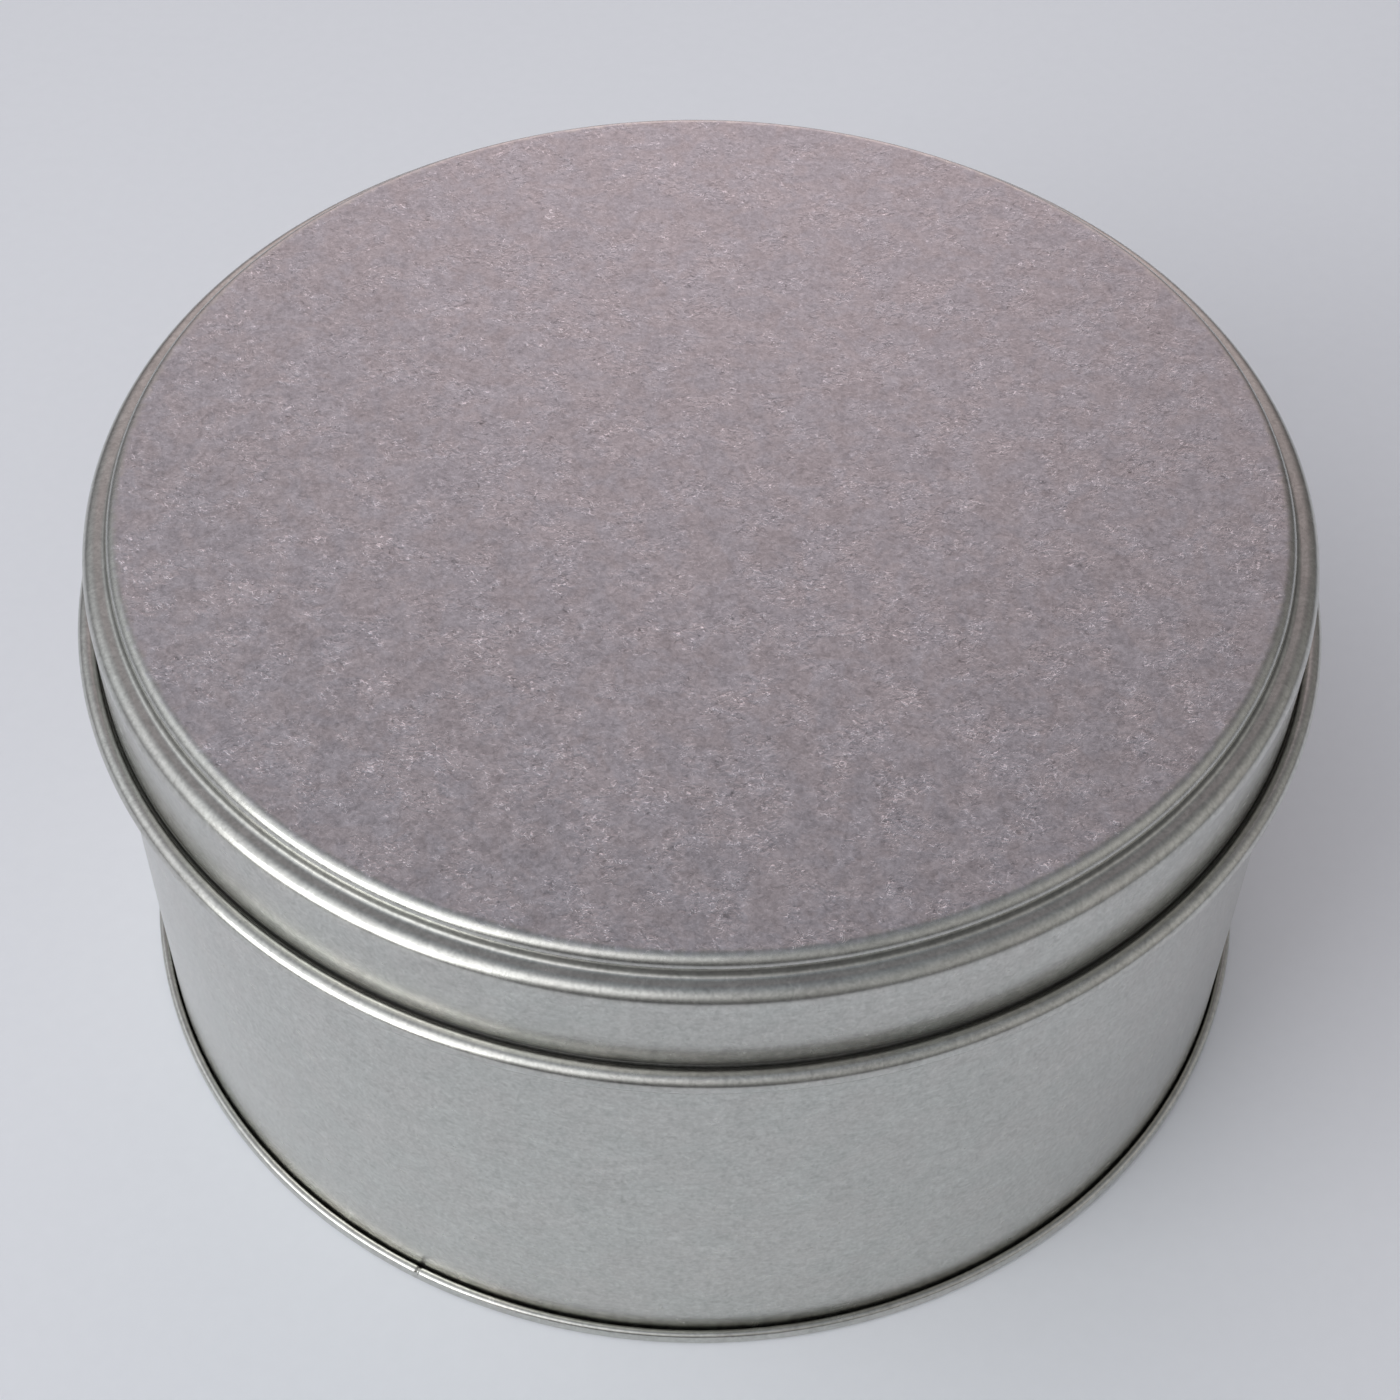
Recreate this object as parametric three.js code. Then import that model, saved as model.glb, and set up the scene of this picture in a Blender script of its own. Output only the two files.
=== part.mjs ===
// Round slip-lid candle tin. Millimetres, +Z up.
// The origin is the centre of the foot that the tin stands on.
// Every piece is pressed or rolled from one gauge of tinplate sheet and is turned about Z.
import * as THREE from "three";

// Driving dimensions.
const wallRadius = 61; // outside of the wall, and of the lid's skirt
const closedHeight = 62.2; // foot to the top of the lid
const sheet = 0.25; // thickness of the tinplate

const stepHeight = 1.9; // raised panel above the lid's ledge
const stepInset = 2.55; // skirt's outside to the raised panel's side
const panelEdgeRadius = 1.2;
const stepFillet = 0.6;
const lidCornerRadius = 1.5;
const skirtDepth = 10.03; // ledge to the skirt's lower edge
const hemHeight = 2.4; // edge of the skirt folded up inside, closed flat

const neckClearance = 0.3; // hem to neck, all round
const rimGap = 0.05; // top of the rim to the lid's ledge
const curlRadius = 0.9; // outside of the rim's inward curl
const neckFillet = 0.35;

const beadRadius = 1.1; // outside of the bead's rolled section
const beadTilt = 15; // degrees that the bead's centre lies below the neck's corner, seen from that corner
const beadRise = 0.13; // bead's top above the skirt's lower edge
const beadFillet = 0.3;

const seamHeight = 1.6;
const seamGap = 0.15; // open slit between the wall and the seam's top
const hookGap = 0.125; // between neighbouring layers inside the seam
const footRadius = 0.5; // both lower corners of the seam
const hookEndGap = 0.12; // end of each hook to the fold that it reaches into

const recessDepth = 3; // foot up to the underside of the end disc
const chuckGap = 0.06; // end disc's upright side to the wall
const recessCorner = 0.6;

const compoundGap = 0.03; // sealing compound to the metal above and below it
const compoundWidth = 0.7;
const compoundThickness = 0.18;

const segments = 48; // round the axis, the same on every piece so that their facets line up

const degrees = Math.PI / 180;

// Derived sizes.
const panelRadius = wallRadius - stepInset;
const ledgeHeight = closedHeight - stepHeight;
const skirtEdge = ledgeHeight - skirtDepth;
const hemTop = skirtEdge + hemHeight;
const hemInside = wallRadius - 2 * sheet;
const neckRadius = hemInside - neckClearance;
const rimHeight = ledgeHeight - sheet - rimGap;
const coverHook = wallRadius + seamGap;
const wallHook = coverHook + sheet + hookGap;
const seamRadius = wallHook + 2 * sheet + hookGap;
const seamFoldRadius = (seamRadius - coverHook) / 2;
const wallTurnRadius = (wallHook - wallRadius) / 2;
const wallTurnFloor = 2 * sheet + compoundThickness + 2 * compoundGap;
const wallTurnHeight = wallTurnFloor + wallTurnRadius;
const hookTop = seamHeight - sheet - hookEndGap;
const hookTip = wallTurnFloor + hookEndGap;
const chuckRadius = wallRadius - 2 * sheet - chuckGap;

// Points [radius, height] of an arc, from one angle to another in equal steps.
function arc([cr, cz], radius, from, to, steps) {
  const points = [];
  for (let i = 0; i <= steps; i += 1) {
    const a = (from + ((to - from) * i) / steps) * degrees;
    points.push([cr + radius * Math.cos(a), cz + radius * Math.sin(a)]);
  }
  return points;
}

// A path moved sideways by the distance, to its right where that is positive.
function offset(path, distance) {
  const normals = [];
  for (let i = 1; i < path.length; i += 1) {
    const dr = path[i][0] - path[i - 1][0];
    const dz = path[i][1] - path[i - 1][1];
    const length = Math.hypot(dr, dz);
    normals.push([dz / length, -dr / length]);
  }
  return path.map(([r, z], i) => {
    const before = normals[Math.max(i - 1, 0)];
    const after = normals[Math.min(i, normals.length - 1)];
    const sum = [before[0] + after[0], before[1] + after[1]];
    const mitre = (2 * distance) / (sum[0] ** 2 + sum[1] ** 2);
    return [r + sum[0] * mitre, z + sum[1] * mitre];
  });
}

// A solid of revolution about Z inside a closed outline of [radius, height] points.
function turned(name, outline, look) {
  const points = outline.map(([r, z]) => new THREE.Vector2(Math.max(r, 0), z));
  const area = THREE.ShapeUtils.area(points);
  if (area < 0) {
    points.reverse();
  }
  const onAxis = points.some((p) => p.x === 0);
  if (onAxis) {
    while (points[0].x !== 0 || points[points.length - 1].x !== 0) {
      points.push(points.shift());
    }
  } else {
    points.push(points[0].clone());
  }
  const geometry = new THREE.LatheGeometry(points, segments);
  geometry.rotateX(Math.PI / 2);
  const mesh = new THREE.Mesh(geometry, new THREE.MeshStandardMaterial(look));
  mesh.name = name;
  return mesh;
}

// Lid: raised panel, ledge, skirt and closed hem in one pressing.
function lidOutline() {
  const outside = [
    [0, closedHeight],
    ...arc([panelRadius - panelEdgeRadius, closedHeight - panelEdgeRadius], panelEdgeRadius, 90, 0, 5),
    ...arc([panelRadius + stepFillet, ledgeHeight + stepFillet], stepFillet, 180, 270, 4),
    ...arc([wallRadius - lidCornerRadius, ledgeHeight - lidCornerRadius], lidCornerRadius, 90, 0, 5),
    [wallRadius, hemTop],
  ];
  const hem = [
    ...arc([wallRadius - sheet, skirtEdge + sheet], sheet, 0, -180, 4),
    [hemInside, hemTop],
  ];
  return [...outside, ...hem, ...offset(outside, sheet).reverse()];
}

// Body: rim curl, neck, bead, wall and the hook that locks into the bottom seam.
function bodyOutline() {
  const curlCentre = [neckRadius - curlRadius, rimHeight - curlRadius];
  const neckToBead = neckFillet + beadRadius;
  const beadHeight = skirtEdge + beadRise - beadRadius;
  const neckCorner = [neckRadius + neckFillet, beadHeight + neckToBead * Math.sin(beadTilt * degrees)];
  const beadCentre = [neckCorner[0] + neckToBead * Math.cos(beadTilt * degrees), beadHeight];
  const neckAngle = 180 - beadTilt;
  const wallDrop = Math.sqrt((beadFillet + beadRadius) ** 2 - (beadCentre[0] - wallRadius - beadFillet) ** 2);
  const wallCorner = [wallRadius + beadFillet, beadCentre[1] - wallDrop];
  const wallAngle = Math.atan2(-wallDrop, wallCorner[0] - beadCentre[0]) / degrees;
  const outside = [
    ...arc(curlCentre, curlRadius, 270, 90, 5),
    ...arc(curlCentre, curlRadius, 90, 0, 3).slice(1),
    ...arc(neckCorner, neckFillet, 180, 360 - beadTilt, 4),
    ...arc(beadCentre, beadRadius, neckAngle, 90, 3).slice(1),
    ...arc(beadCentre, beadRadius, 90, 0, 3).slice(1),
    ...arc(beadCentre, beadRadius, 0, wallAngle, 4).slice(1),
    ...arc(wallCorner, beadFillet, wallAngle + 180, 180, 3).slice(1),
    ...arc([wallRadius + wallTurnRadius, wallTurnHeight], wallTurnRadius, 180, 360, 4),
    [wallHook, hookTop],
  ];
  return [...outside, ...offset(outside, sheet).reverse()];
}

// Bottom end: recessed disc whose edge is rolled round the wall's hook as a double seam.
function bottomOutline() {
  const outside = [
    [0, recessDepth],
    ...arc([chuckRadius - recessCorner, recessDepth - recessCorner], recessCorner, 90, 0, 3),
    ...arc([chuckRadius + footRadius, footRadius], footRadius, 180, 270, 3),
    ...arc([seamRadius - footRadius, footRadius], footRadius, 270, 360, 3),
    ...arc([coverHook + seamFoldRadius, seamHeight - seamFoldRadius], seamFoldRadius, 0, 180, 8),
    [coverHook, hookTip],
  ];
  return [...outside, ...offset(outside, -sheet).reverse()];
}

// Seam compound: sealing ring under the wall's turn, inside the seam.
function compoundOutline() {
  const middle = wallRadius + wallTurnRadius;
  const low = sheet + compoundGap;
  const high = low + compoundThickness;
  return [
    [middle - compoundWidth / 2, low],
    [middle + compoundWidth / 2, low],
    [middle + compoundWidth / 2, high],
    [middle - compoundWidth / 2, high],
  ];
}

const tin = new THREE.Group();
tin.add(
  turned("tin_body", bodyOutline(), { color: 0x9c9a95, roughness: 0.38, metalness: 1 }),
  turned("bottom_end", bottomOutline(), { color: 0x9c9a95, roughness: 0.38, metalness: 1 }),
  turned("seam_compound", compoundOutline(), { color: 0x8a8478, roughness: 0.8, metalness: 0 }),
  turned("lid", lidOutline(), { color: 0xa39a9b, roughness: 0.42, metalness: 1 }),
);

export default tin;
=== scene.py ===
import math

import bpy
import numpy as np
from mathutils import Matrix, Vector


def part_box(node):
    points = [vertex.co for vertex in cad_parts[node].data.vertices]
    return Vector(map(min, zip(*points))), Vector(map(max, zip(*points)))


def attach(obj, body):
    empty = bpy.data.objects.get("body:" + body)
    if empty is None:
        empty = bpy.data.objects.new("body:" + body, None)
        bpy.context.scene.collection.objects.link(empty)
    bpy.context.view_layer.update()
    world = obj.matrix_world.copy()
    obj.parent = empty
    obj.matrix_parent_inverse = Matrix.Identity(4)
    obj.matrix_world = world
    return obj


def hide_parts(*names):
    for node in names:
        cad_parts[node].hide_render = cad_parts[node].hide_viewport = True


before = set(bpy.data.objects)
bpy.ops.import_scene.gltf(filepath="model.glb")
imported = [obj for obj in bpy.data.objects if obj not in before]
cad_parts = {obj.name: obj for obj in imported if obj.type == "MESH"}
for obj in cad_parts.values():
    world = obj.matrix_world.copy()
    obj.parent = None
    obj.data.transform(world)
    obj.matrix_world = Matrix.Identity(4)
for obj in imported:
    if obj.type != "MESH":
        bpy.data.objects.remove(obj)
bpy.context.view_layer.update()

MM = 0.001

# ---------------------------------------------------------------- sizes, millimetres
lid_lo, lid_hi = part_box("lid")
end_lo, end_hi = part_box("bottom_end")
WALL_R = lid_hi.x / MM
TOP_Z = lid_hi.z / MM
SKIRT_EDGE = lid_lo.z / MM
SEAM_R = end_hi.x / MM
SHEET = 0.25

STEP_H = 1.9
STEP_INSET = 2.55
PANEL_EDGE_R = 1.2
STEP_FILLET = 0.6
LID_CORNER_R = 1.5
HEM_H = 2.4
NECK_CLEARANCE = 0.3
RIM_GAP = 0.05
CURL_R = 0.9
NECK_FILLET = 0.35
BEAD_R = 1.1
BEAD_TILT = 15
BEAD_RISE = 0.13
BEAD_FILLET = 0.3
SEAM_H = 1.6
SEAM_GAP = 0.15
HOOK_GAP = 0.125
HOOK_END_GAP = 0.12
FOOT_R = 0.5
RECESS = 3.0
CHUCK_GAP = 0.06
RECESS_CORNER = 0.6
COMPOUND_GAP = 0.03
COMPOUND_W = 0.7
COMPOUND_T = 0.18
COMPOUND_CORNER = 0.35  # radius of the ring's corners, as a share of its thickness

PANEL_R = WALL_R - STEP_INSET
LEDGE_Z = TOP_Z - STEP_H
HEM_TOP = SKIRT_EDGE + HEM_H
HEM_R = WALL_R - 2 * SHEET
NECK_R = HEM_R - NECK_CLEARANCE
RIM_Z = LEDGE_Z - SHEET - RIM_GAP
COVER_HOOK = WALL_R + SEAM_GAP
WALL_HOOK = COVER_HOOK + SHEET + HOOK_GAP
SEAM_FOLD_R = (SEAM_R - COVER_HOOK) / 2
TURN_R = (WALL_HOOK - WALL_R) / 2
TURN_FLOOR = 2 * SHEET + COMPOUND_T + 2 * COMPOUND_GAP
TURN_Z = TURN_FLOOR + TURN_R
HOOK_TOP = SEAM_H - SHEET - HOOK_END_GAP
HOOK_TIP = TURN_FLOOR + HOOK_END_GAP
CHUCK_R = WALL_R - 2 * SHEET - CHUCK_GAP

SIDES = 288  # facets round the axis
ON_AXIS = 1e-6


# ---------------------------------------------------------------- profiles
def arc(centre, radius, start, stop, step=9.0):
    """Points [radius, height] of an arc between two angles in degrees, about one for each step."""
    n = max(2, int(math.ceil(abs(stop - start) / step)))
    angles = np.radians(np.linspace(start, stop, n + 1))
    return [(centre[0] + radius * math.cos(a), centre[1] + radius * math.sin(a)) for a in angles]


def supported(path, near=0.12, longest=4.0):
    """The path with extra points near the ends of each long straight run, and along it.

    They keep a straight run's shading straight beside an arc.
    """
    out = [path[0]]
    for a, b in zip(path, path[1:]):
        a, b = np.array(a, float), np.array(b, float)
        length = np.linalg.norm(b - a)
        if length > 4 * near:
            n = max(1, int(math.ceil((length - 2 * near) / longest)))
            marks = near + (length - 2 * near) * np.arange(n + 1) / n
            out += [tuple(a + (b - a) * m / length) for m in marks]
        out.append(tuple(b))
    return out


def offset(path, distance):
    """The path moved sideways, to its right where the distance is positive."""
    p = np.array(path, float)
    d = np.diff(p, axis=0)
    n = np.c_[d[:, 1], -d[:, 0]] / np.linalg.norm(d, axis=1)[:, None]
    s = np.vstack([n[:1] * 2, n[1:] + n[:-1], n[-1:] * 2])
    return [tuple(q) for q in p + s * (2 * distance / (s * s).sum(1))[:, None]]


def lathe(name, outline, extra_turns=(), reshape=None):
    """A closed, smooth-shaded solid of revolution about Z from a closed outline.

    extra_turns are angles, in radians, that get a row of points besides the even ones.
    reshape takes the points and gives them back moved.
    """
    pts = np.array(outline, float)
    area = 0.5 * np.sum(pts[:, 0] * np.roll(pts[:, 1], -1) - np.roll(pts[:, 0], -1) * pts[:, 1])
    if area < 0:
        pts = pts[::-1]
    n = len(pts)
    even_turns = 2 * math.pi * np.arange(SIDES) / SIDES
    turn = np.unique(np.r_[even_turns, np.mod(extra_turns, 2 * math.pi)])
    sides = len(turn)
    on_axis = pts[:, 0] < ON_AXIS
    verts, index = [], np.zeros((sides, n), int)
    for i, (r, z) in enumerate(pts):
        if on_axis[i]:
            index[:, i] = len(verts)
            verts.append((0.0, 0.0, z))
        else:
            for k, t in enumerate(turn):
                index[k, i] = len(verts)
                verts.append((r * math.sin(t), -r * math.cos(t), z))
    verts = np.array(verts)
    if reshape is not None:
        verts = reshape(verts)
    faces = []
    for i in range(n):
        j = (i + 1) % n
        if on_axis[i] and on_axis[j]:
            continue
        for k in range(sides):
            m = (k + 1) % sides
            quad = [index[k, i], index[m, i], index[m, j], index[k, j]]
            faces.append([int(v) for q, v in enumerate(quad) if v not in quad[:q]])
    mesh = bpy.data.meshes.new(name)
    mesh.from_pydata((verts * MM).tolist(), [], faces)
    mesh.validate()
    mesh.polygons.foreach_set("use_smooth", [True] * len(mesh.polygons))
    mesh.update()
    obj = bpy.data.objects.new(name, mesh)
    bpy.context.scene.collection.objects.link(obj)
    return obj


def lid_outline():
    outside = supported([
        (0, TOP_Z),
        *arc((PANEL_R - PANEL_EDGE_R, TOP_Z - PANEL_EDGE_R), PANEL_EDGE_R, 90, 0),
        *arc((PANEL_R + STEP_FILLET, LEDGE_Z + STEP_FILLET), STEP_FILLET, 180, 270, 15),
        *arc((WALL_R - LID_CORNER_R, LEDGE_Z - LID_CORNER_R), LID_CORNER_R, 90, 0),
        (WALL_R, HEM_TOP),
    ])
    hem = supported([
        outside[-1],
        *arc((WALL_R - SHEET, SKIRT_EDGE + SHEET), SHEET, 0, -180, 20),
        (HEM_R, HEM_TOP),
    ])[1:]
    return [*outside, *hem, *offset(outside, SHEET)[::-1]]


def body_outline():
    curl = (NECK_R - CURL_R, RIM_Z - CURL_R)
    reach = NECK_FILLET + BEAD_R
    bead_z = SKIRT_EDGE + BEAD_RISE - BEAD_R
    tilt = math.radians(BEAD_TILT)
    neck = (NECK_R + NECK_FILLET, bead_z + reach * math.sin(tilt))
    bead = (neck[0] + reach * math.cos(tilt), bead_z)
    drop = math.sqrt((BEAD_FILLET + BEAD_R) ** 2 - (bead[0] - WALL_R - BEAD_FILLET) ** 2)
    wall = (WALL_R + BEAD_FILLET, bead[1] - drop)
    wall_angle = math.degrees(math.atan2(-drop, wall[0] - bead[0]))
    outside = supported([
        *arc(curl, CURL_R, 270, 0),
        *arc(neck, NECK_FILLET, 180, 360 - BEAD_TILT, 15),
        *arc(bead, BEAD_R, 180 - BEAD_TILT, 0)[1:],
        *arc(bead, BEAD_R, 0, wall_angle)[1:],
        *arc(wall, BEAD_FILLET, wall_angle + 180, 180, 5)[1:],
        *arc((WALL_R + TURN_R, TURN_Z), TURN_R, 180, 360, 18),
        (WALL_HOOK, HOOK_TOP),
    ])
    return [*outside, *offset(outside, SHEET)[::-1]]


def bottom_outline():
    outside = supported([
        (0, RECESS),
        *arc((CHUCK_R - RECESS_CORNER, RECESS - RECESS_CORNER), RECESS_CORNER, 90, 0),
        *arc((CHUCK_R + FOOT_R, FOOT_R), FOOT_R, 180, 270),
        *arc((SEAM_R - FOOT_R, FOOT_R), FOOT_R, 270, 360),
        *arc((COVER_HOOK + SEAM_FOLD_R, SEAM_H - SEAM_FOLD_R), SEAM_FOLD_R, 0, 180),
        (COVER_HOOK, HOOK_TIP),
    ])
    return [*outside, *offset(outside, -SHEET)[::-1]]


def compound_outline():
    middle = WALL_R + TURN_R
    low = SHEET + COMPOUND_GAP
    corner = COMPOUND_CORNER * COMPOUND_T
    left, right, high = middle - COMPOUND_W / 2, middle + COMPOUND_W / 2, low + COMPOUND_T
    return [
        *arc((left + corner, low + corner), corner, 180, 270, 30),
        *arc((right - corner, low + corner), corner, 270, 360, 30),
        *arc((right - corner, high - corner), corner, 0, 90, 30),
        *arc((left + corner, high - corner), corner, 90, 180, 30),
    ]


NICK_AT = math.radians(-26.8)  # round the seam from the front, towards +X
NICK_HALF_WIDTH = 0.17
NICK_DEPTH = 0.16
NICK_REACH = 0.6  # how far to each side of the nick the points lie closer together
NICK_POINTS = 17
NICK_FLOOR = 0.05  # how far below the fold's centre the nick still reaches
NICK_SKIN = 0.3  # share of the sheet, from the outside, that the nick moves


def nicked(verts):
    """A small nick pressed into the outside of the seam's top fold."""
    radius = np.hypot(verts[:, 0], verts[:, 1])
    around = (np.arctan2(verts[:, 0], -verts[:, 1]) - NICK_AT) * radius
    fold_r, fold_z = COVER_HOOK + SEAM_FOLD_R, SEAM_H - SEAM_FOLD_R
    out_r, out_z = radius - fold_r, verts[:, 2] - fold_z
    reach = np.hypot(out_r, out_z)
    surface = (out_z > -NICK_FLOOR) & (reach > SEAM_FOLD_R - NICK_SKIN * SHEET)
    depth = NICK_DEPTH * np.exp(-((around / NICK_HALF_WIDTH) ** 2)) * surface
    new_radius = radius - depth * out_r / np.maximum(reach, ON_AXIS)
    scale = new_radius / np.maximum(radius, ON_AXIS)
    verts = verts.copy()
    verts[:, 2] -= depth * out_z / np.maximum(reach, ON_AXIS)
    verts[:, :2] *= scale[:, None]
    return verts


# ---------------------------------------------------------------- materials
class Nodes:
    """Short names for building one node tree."""

    def __init__(self, tree):
        self.tree = tree

    def new(self, kind, **values):
        node = self.tree.nodes.new(kind)
        for key, value in values.items():
            setattr(node, key, value)
        return node

    def link(self, a, b):
        self.tree.links.new(a, b)

    def put(self, socket, value):
        if hasattr(value, "is_output"):
            self.link(value, socket)
        else:
            socket.default_value = value

    def math(self, operation, a, b=0.0, clamp=False):
        node = self.new("ShaderNodeMath", operation=operation, use_clamp=clamp)
        self.put(node.inputs[0], a)
        self.put(node.inputs[1], b)
        return node.outputs[0]

    def ramp(self, value, low, high, to_low=0.0, to_high=1.0):
        """A smooth change from to_low to to_high as the value goes from low to high."""
        node = self.new("ShaderNodeMapRange", interpolation_type="SMOOTHSTEP")
        names = ("Value", "From Min", "From Max", "To Min", "To Max")
        for name, v in zip(names, (value, low, high, to_low, to_high)):
            self.put(node.inputs[name], v)
        return node.outputs["Result"]

    def noise(self, vector, scale, detail=2.0, rough=0.5, distortion=0.0):
        node = self.new("ShaderNodeTexNoise")
        self.put(node.inputs["Vector"], vector)
        node.inputs["Scale"].default_value = scale
        node.inputs["Detail"].default_value = detail
        node.inputs["Roughness"].default_value = rough
        node.inputs["Distortion"].default_value = distortion
        return node.outputs["Fac"]

    def mix(self, factor, a, b):
        node = self.new("ShaderNodeMix", data_type="RGBA")
        self.put(node.inputs["Factor"], factor)
        self.put(node.inputs["A"], a)
        self.put(node.inputs["B"], b)
        return node.outputs["Result"]

    def vary(self, base, *parts):
        """The base, plus each noise's distance from its middle times its strength."""
        total = base
        for value, strength in parts:
            swing = self.math("MULTIPLY", self.math("SUBTRACT", value, 0.5), strength)
            total = self.math("ADD", swing, total)
        return total

    def blend(self, factor, a, b):
        node = self.new("ShaderNodeMix", data_type="FLOAT")
        self.put(node.inputs["Factor"], factor)
        self.put(node.inputs["A"], a)
        self.put(node.inputs["B"], b)
        return node.outputs["Result"]

    def scaled(self, colour, factor):
        node = self.new("ShaderNodeVectorMath", operation="SCALE")
        self.put(node.inputs[0], colour)
        self.put(node.inputs["Scale"], factor)
        return node.outputs[0]

    def length(self, a, b):
        """The square root of a squared plus b squared."""
        squares = self.math("ADD", self.math("MULTIPLY", a, a), self.math("MULTIPLY", b, b))
        return self.math("SQRT", squares)

    def radius_and_height(self, p):
        """Distance from the tin's axis, and height, in metres."""
        parts = self.new("ShaderNodeSeparateXYZ")
        self.put(parts.inputs[0], p)
        x, y, z = parts.outputs
        return self.length(x, y), z


TINPLATE_HUES = ((0.556, 0.549, 0.520, 1), (0.548, 0.551, 0.521, 1))
TINPLATE_ROUGH = 0.25
TINPLATE_BUMP = 0.000003  # metres
STREAK_STRETCH = 7.0
STONE_HUES = ((0.542, 0.520, 0.538, 1), (0.528, 0.524, 0.556, 1))
STONE_ROUGH = 0.40
STONE_BUMP = 0.00005  # metres
STONE_EDGE_RAGGED = 0.0016  # metres
BARE_TO_STONE_HEIGHT = 0.08  # the bare metal's relief on the lid, beside the stone texture's
PAINTED_SHADE_TONE = 0.45  # how much of the metal's brightness is left under the full painted shade
PAINTED_SHADE_ROUGH = 0.30  # how much rougher the metal is under the full painted shade
PAINTED_SHADE_RAGGED = 0.3  # unevenness of the painted shade's edge, as a share of its reach
COMPOUND_HUES = ((0.50, 0.47, 0.40, 1), (0.62, 0.60, 0.53, 1))

# Creases darkened with painted shade: (radius, height) of the ring, then near and far of the
# shade.
UNDER_BEAD = ((WALL_R + 0.1, SKIRT_EDGE - 1.7), 0.3, 0.9)
ABOVE_BEAD = ((NECK_R + NECK_FILLET, SKIRT_EDGE - 0.8), 0.45, 0.8)
STEP_FOOT = ((PANEL_R + 0.05, LEDGE_Z + 0.42), 0.12, 0.50)
SKIRT_FOOT = ((WALL_R, SKIRT_EDGE), 0.2, 0.8)


def bare_tinplate(n, p, rough):
    """Colour, roughness and height of satin tinplate: faint mottle, and streaks round the axis."""
    cloud = n.noise(p, 130, 3.0, 0.6)
    patch = n.noise(p, 620, 3.0, 0.6)
    mottle = n.noise(p, 1300, 2.0, 0.55, 1.2)
    fine = n.noise(p, 2600, 2.0, 0.6)
    squeeze = n.new("ShaderNodeVectorMath", operation="MULTIPLY")
    n.put(squeeze.inputs[0], p)
    squeeze.inputs[1].default_value = (1.0, 1.0, STREAK_STRETCH)
    streaks = n.noise(squeeze.outputs[0], 260, 4.0, 0.6)
    tone = n.vary(
        1.0, (cloud, 0.12), (patch, 0.22), (mottle, 0.50), (fine, 0.40), (streaks, 0.22)
    )
    hue = n.ramp(n.noise(p, 170, 3.0, 0.6), 0.36, 0.64)
    colour = n.scaled(n.mix(hue, *TINPLATE_HUES), tone)
    roughness = n.vary(rough, (patch, 0.10), (streaks, 0.08))
    height = n.vary(0.5, (mottle, 0.5), (fine, 0.5), (streaks, 0.5))
    return colour, roughness, height


def stone_texture(n, p, rough):
    """Colour, roughness and height of the lid's stone-like panel.

    It has mottle of every size, short light filaments and dark specks.
    """
    broad = n.noise(p, 100, 2.0, 0.5)
    cloud = n.noise(p, 260, 2.0, 0.5)
    patch = n.noise(p, 620, 2.0, 0.5, 0.4)
    mottle = n.noise(p, 1500, 2.0, 0.5, 0.8)
    fine = n.noise(p, 3400, 2.0, 0.6, 0.6)

    # Filaments lie where a warped noise crosses its middle.
    # Other noises break them up and gather them.
    thread = n.noise(p, 980, 1.0, 0.5, 1.8)
    off_middle = n.math("ABSOLUTE", n.math("SUBTRACT", thread, 0.5))
    thin = n.ramp(off_middle, 0.006, 0.046, 1.0, 0.0)
    broken = n.ramp(n.noise(p, 1350, 2.0, 0.6, 0.8), 0.51, 0.61)
    crowd = n.ramp(n.noise(p, 260, 3.0, 0.6), 0.42, 0.60, 0.25, 1.0)
    light = n.math("MULTIPLY", n.math("MULTIPLY", thin, broken), crowd)
    specks = n.ramp(n.noise(p, 1800, 2.0, 0.55, 0.6), 0.60, 0.70)
    dark = n.math("MULTIPLY", specks, crowd)

    tone = n.vary(
        1.0, (broad, 0.10), (cloud, 0.18), (patch, 0.34), (mottle, 0.66), (fine, 0.60)
    )
    tone = n.math("ADD", tone, n.math("MULTIPLY", light, 0.75))
    tone = n.math("SUBTRACT", tone, n.math("MULTIPLY", dark, 0.30))
    hue = n.ramp(n.noise(p, 330, 3.0, 0.6, 0.5), 0.38, 0.62)
    colour = n.scaled(n.mix(hue, *STONE_HUES), tone)
    roughness = n.vary(rough, (patch, 0.12), (mottle, 0.10))
    roughness = n.math("SUBTRACT", roughness, n.math("MULTIPLY", light, 0.08))
    height = n.vary(0.0, (mottle, 1.0), (fine, 0.55))
    height = n.math("MULTIPLY", height, crowd)
    height = n.math("ADD", height, n.math("MULTIPLY", light, 0.30))
    return colour, roughness, height


def with_painted_crease_shade(n, p, look, ring, near, far):
    """The look darkened by painted shade in a crease, and made rougher there.

    The ring gives the crease's radius and height. The painted shade is full up to near from it
    and gone at far. All are millimetres.
    """
    colour, roughness, height = look
    radius, z = n.radius_and_height(p)
    out = n.math("SUBTRACT", radius, ring[0] * MM)
    over = n.math("SUBTRACT", z, ring[1] * MM)
    away = n.vary(n.length(out, over), (n.noise(p, 1500, 2.0, 0.6), PAINTED_SHADE_RAGGED * far * MM))
    unshaded = n.ramp(away, near * MM, far * MM)
    colour = n.scaled(colour, n.blend(unshaded, PAINTED_SHADE_TONE, 1.0))
    roughness = n.math("ADD", roughness, n.blend(unshaded, PAINTED_SHADE_ROUGH, 0.0))
    return colour, roughness, height


def finish_metal(n, look, bump):
    """Put a colour, roughness and height on the metal's shader."""
    colour, roughness, height = look
    bsdf = n.tree.nodes["Principled BSDF"]
    bsdf.inputs["Metallic"].default_value = 1.0
    n.put(bsdf.inputs["Base Color"], colour)
    n.put(bsdf.inputs["Roughness"], roughness)
    b = n.new("ShaderNodeBump")
    b.inputs["Strength"].default_value = 1.0
    b.inputs["Distance"].default_value = bump
    n.put(b.inputs["Height"], height)
    n.link(b.outputs["Normal"], bsdf.inputs["Normal"])


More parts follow.
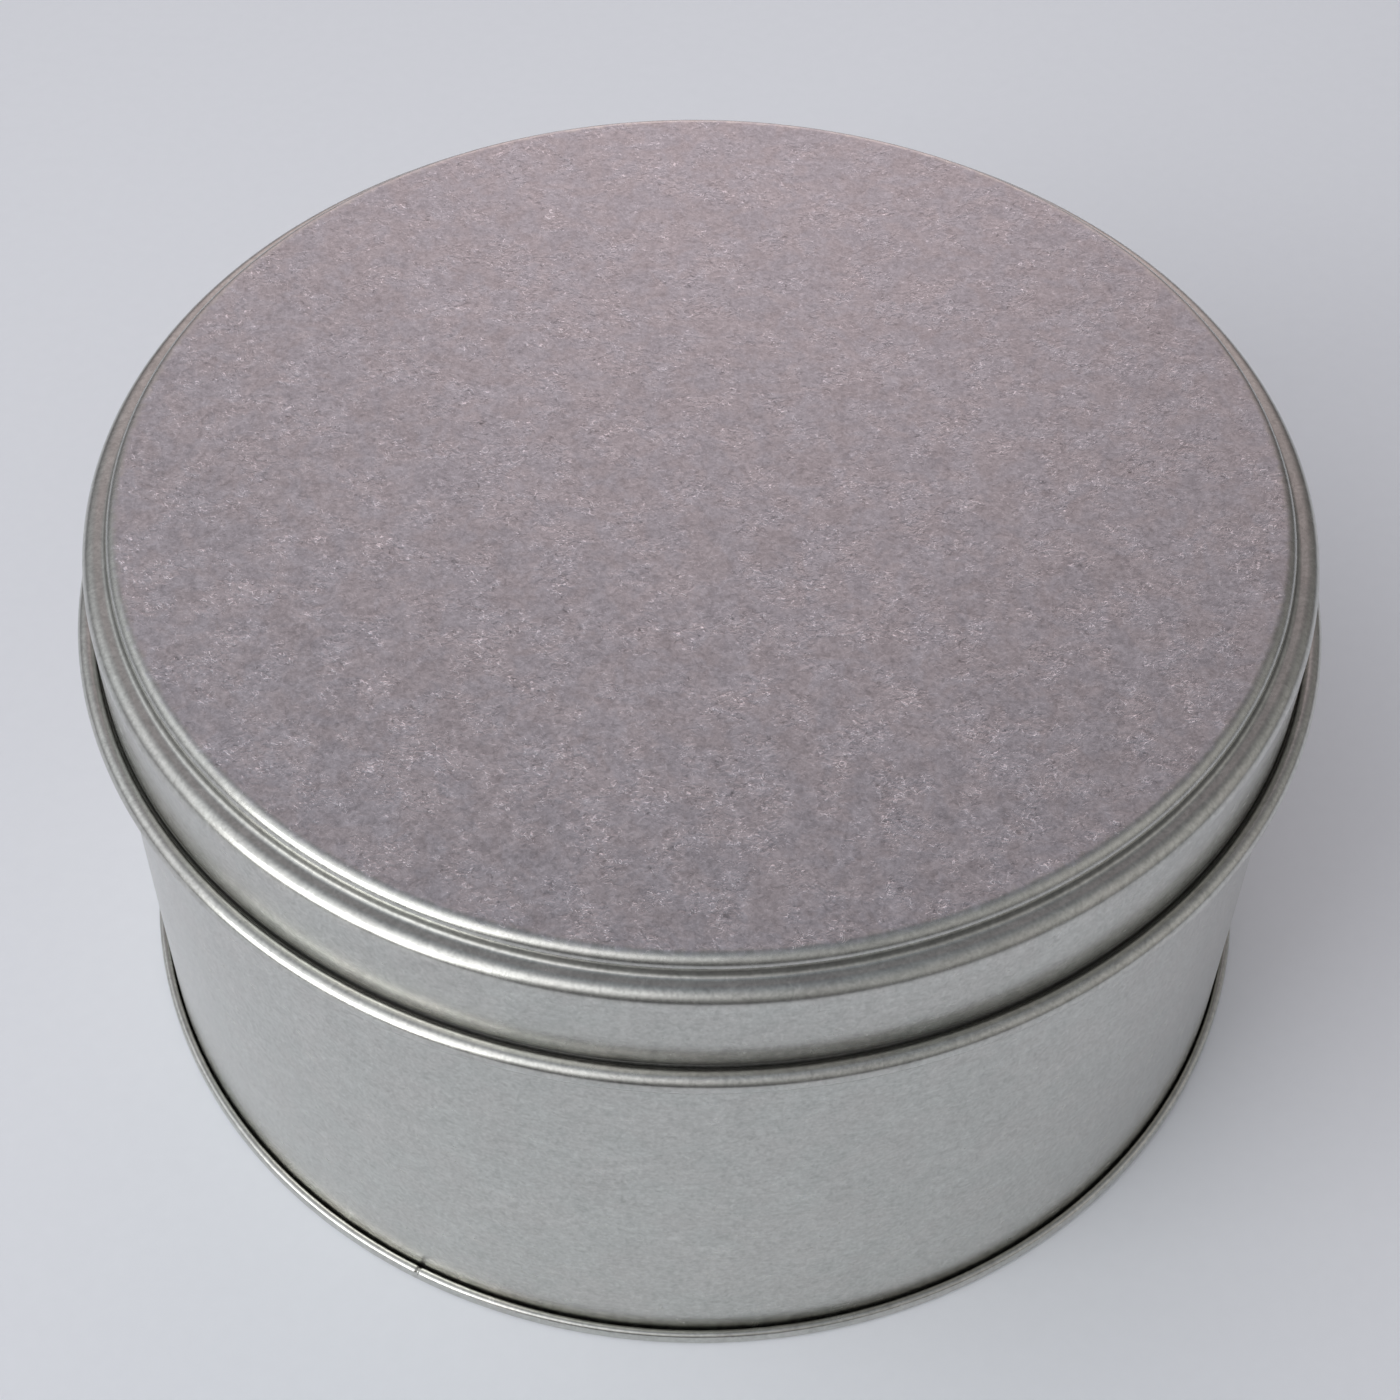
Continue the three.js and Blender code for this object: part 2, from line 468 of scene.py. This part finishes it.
def body_metal():
    mat = bpy.data.materials.new("body_tinplate")
    mat.use_nodes = True
    n = Nodes(mat.node_tree)
    p = n.new("ShaderNodeTexCoord").outputs["Object"]
    look = bare_tinplate(n, p, TINPLATE_ROUGH)
    # Painted shade darkens the creases under and above the bead, which are also made rougher.
    look = with_painted_crease_shade(n, p, look, *UNDER_BEAD)
    look = with_painted_crease_shade(n, p, look, *ABOVE_BEAD)
    finish_metal(n, look, TINPLATE_BUMP)
    return mat


def lid_metal():
    """Bare tinplate, with the stone texture on the upper face of the raised panel.

    The stone texture fades out where the panel's rounded edge starts.
    """
    mat = bpy.data.materials.new("lid_tinplate")
    mat.use_nodes = True
    n = Nodes(mat.node_tree)
    p = n.new("ShaderNodeTexCoord").outputs["Object"]
    radius, z = n.radius_and_height(p)
    edge_r = PANEL_R - PANEL_EDGE_R
    ragged = n.vary(radius, (n.noise(p, 900, 2.0, 0.6), STONE_EDGE_RAGGED))
    inside = n.ramp(ragged, (edge_r - 0.4) * MM, (edge_r + 0.7) * MM, 1.0, 0.0)
    upper = n.ramp(z, (TOP_Z - 0.6 * SHEET) * MM, (TOP_Z - 0.4 * SHEET) * MM)
    panel = n.math("MULTIPLY", inside, upper)
    bare = bare_tinplate(n, p, TINPLATE_ROUGH)
    stone = stone_texture(n, p, STONE_ROUGH)
    colour = n.mix(panel, bare[0], stone[0])
    roughness = n.blend(panel, bare[1], stone[1])
    bare_height = n.math("MULTIPLY", bare[2], BARE_TO_STONE_HEIGHT)
    height = n.blend(panel, bare_height, stone[2])
    # Painted shade darkens the crease at the step's foot and the skirt's lower edge, which are
    # also made rougher.
    look = with_painted_crease_shade(n, p, (colour, roughness, height), *STEP_FOOT)
    look = with_painted_crease_shade(n, p, look, *SKIRT_FOOT)
    finish_metal(n, look, STONE_BUMP)
    return mat


def compound_material():
    mat = bpy.data.materials.new("seam_compound_paste")
    mat.use_nodes = True
    n = Nodes(mat.node_tree)
    bsdf = mat.node_tree.nodes["Principled BSDF"]
    p = n.new("ShaderNodeTexCoord").outputs["Object"]
    blotch = n.noise(p, 700, 3.0, 0.6)
    n.link(n.mix(blotch, *COMPOUND_HUES), bsdf.inputs["Base Color"])
    n.link(n.ramp(blotch, 0.3, 0.7, 0.65, 0.85), bsdf.inputs["Roughness"])
    return mat


LID_METAL = lid_metal()
BODY_METAL = body_metal()

# ---------------------------------------------------------------- the object
lid = lathe("tin_lid", lid_outline())
body = lathe("tin_wall", body_outline())
nick_turns = NICK_AT + np.linspace(-NICK_REACH, NICK_REACH, NICK_POINTS) / SEAM_R
bottom = lathe("tin_bottom", bottom_outline(), nick_turns, nicked)
compound = lathe("tin_compound", compound_outline())

for piece, node, group, slot, mat in (
    (lid, "lid", "lid", "lid_tinplate", LID_METAL),
    (body, "tin_body", "tin", "body_tinplate", BODY_METAL),
    (bottom, "bottom_end", "tin", "body_tinplate", BODY_METAL),
    (compound, "seam_compound", "tin", "compound", compound_material()),
):
    piece.data.materials.append(mat)
    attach(piece, group)
    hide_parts(node)

# ---------------------------------------------------------------- camera
CAMERA_AT = (0.0, -180.05, 237.15)  # millimetres
PITCH_DOWN = 0.8599  # radians
YAW = 0.0008
ROLL = 0.0179
LENS = 65.06
SENSOR_WIDTH = 36.0
CLIP = (0.01, 20.0)
level = math.cos(PITCH_DOWN)
forward = Vector((math.sin(YAW) * level, math.cos(YAW) * level, -math.sin(PITCH_DOWN)))
right = forward.cross(Vector((0, 0, 1))).normalized()
up = right.cross(forward)
across = right * math.cos(ROLL) + up * math.sin(ROLL)
above = up * math.cos(ROLL) - right * math.sin(ROLL)
cam_data = bpy.data.cameras.new("camera")
cam_data.lens = LENS
cam_data.sensor_width = SENSOR_WIDTH
cam_data.clip_start, cam_data.clip_end = CLIP
cam = bpy.data.objects.new("camera", cam_data)
bpy.context.scene.collection.objects.link(cam)
turned = Matrix((across, above, -forward)).transposed()
cam.matrix_world = Matrix.Translation(Vector(CAMERA_AT) * MM) @ turned.to_4x4()
bpy.context.scene.camera = cam

# ---------------------------------------------------------------- floor
FLOOR_HALF = 4.0
FLOOR_HUES = ((0.85, 0.872, 0.920, 1), (0.88, 0.902, 0.950, 1))
FLOOR_BRIGHT_TO = 0.12  # metres from the axis where painted shade starts to darken the floor's colour
FLOOR_DARK_FROM = 0.75
FLOOR_PAINTED_SHADE_TONE = 0.42
corners = [(x * FLOOR_HALF, y * FLOOR_HALF, 0) for x, y in ((-1, -1), (1, -1), (1, 1), (-1, 1))]
mesh = bpy.data.meshes.new("floor")
mesh.from_pydata(corners, [], [(0, 1, 2, 3)])
floor = bpy.data.objects.new("floor", mesh)
bpy.context.scene.collection.objects.link(floor)
floor_mat = bpy.data.materials.new("floor_laminate")
floor_mat.use_nodes = True
fn = Nodes(floor_mat.node_tree)
fb = floor_mat.node_tree.nodes["Principled BSDF"]
fp = fn.new("ShaderNodeTexCoord").outputs["Object"]
from_middle = fn.new("ShaderNodeVectorMath", operation="LENGTH")
fn.put(from_middle.inputs[0], fp)
distance = from_middle.outputs["Value"]
# Painted shade: the floor's colour darkens with distance from the tin's axis.
painted_shade_falloff = fn.ramp(distance, FLOOR_BRIGHT_TO, FLOOR_DARK_FROM, 1.0, FLOOR_PAINTED_SHADE_TONE)
laminate = fn.mix(fn.noise(fp, 500, 3.0, 0.6), *FLOOR_HUES)
fn.link(fn.scaled(laminate, painted_shade_falloff), fb.inputs["Base Color"])
fb.inputs["Roughness"].default_value = 0.6
fb.inputs["Specular IOR Level"].default_value = 0.25
floor.data.materials.append(floor_mat)


# ---------------------------------------------------------------- light
WINDOW_AT = Vector((-1.0, -0.7, 0.55))
WINDOW_AIM = Vector((0, 0, 0.03))
WINDOW_SIZE = (0.9, 0.7)
WINDOW_POWER = 6.0
WINDOW_COLOUR = (0.99, 1.0, 0.99)
AMBIENT = (0.02, 0.02, 0.02)
# Soft glows in the surroundings: direction, tightness, colour.
GLOWS = (
    ((0, 1, 0.37), 12, (1.44, 1.20, 1.22)),
    ((-0.53, -0.65, 0.9), 12, (1.66, 1.66, 1.69)),
    ((-1, 0.15, 0.7), 7, (0.98, 1.00, 1.04)),
    ((0.4, -0.8, 0.6), 9, (0.30, 0.30, 0.30)),
    ((1, -0.1, 0.5), 5, (0.52, 0.51, 0.50)),
    ((0, 0, 1), 6, (0.17, 0.19, 0.22)),
)

window_data = bpy.data.lights.new("window", "AREA")
window_data.shape = "RECTANGLE"
window_data.size, window_data.size_y = WINDOW_SIZE
window_data.energy = WINDOW_POWER
window_data.color = WINDOW_COLOUR
window = bpy.data.objects.new("window", window_data)
window.location = WINDOW_AT
window.rotation_mode = "QUATERNION"
window.rotation_quaternion = (WINDOW_AIM - WINDOW_AT).to_track_quat("-Z", "Y")
bpy.context.scene.collection.objects.link(window)

world = bpy.data.worlds.new("studio")
bpy.context.scene.world = world
world.use_nodes = True
wn = Nodes(world.node_tree)
sky = world.node_tree.nodes["Background"]
direction = wn.new("ShaderNodeTexCoord").outputs["Generated"]


def glow(axis, tightness, colour):
    """A soft round glow in the surroundings, brightest along the axis."""
    dot = wn.new("ShaderNodeVectorMath", operation="DOT_PRODUCT")
    wn.put(dot.inputs[0], direction)
    dot.inputs[1].default_value = Vector(axis).normalized()
    away = wn.math("SUBTRACT", dot.outputs["Value"], 1.0)
    fall = wn.math("EXPONENT", wn.math("MULTIPLY", away, tightness))
    return wn.scaled(colour, fall)


def total(a, b):
    node = wn.new("ShaderNodeVectorMath", operation="ADD")
    wn.put(node.inputs[0], a)
    wn.put(node.inputs[1], b)
    return node.outputs[0]


light = AMBIENT
for glow_settings in GLOWS:
    light = total(light, glow(*glow_settings))
wn.link(light, sky.inputs["Color"])
sky.inputs["Strength"].default_value = 1.0

scene = bpy.context.scene
scene.view_settings.view_transform = "Standard"
scene.view_settings.look = "None"
scene.view_settings.exposure = 0.0
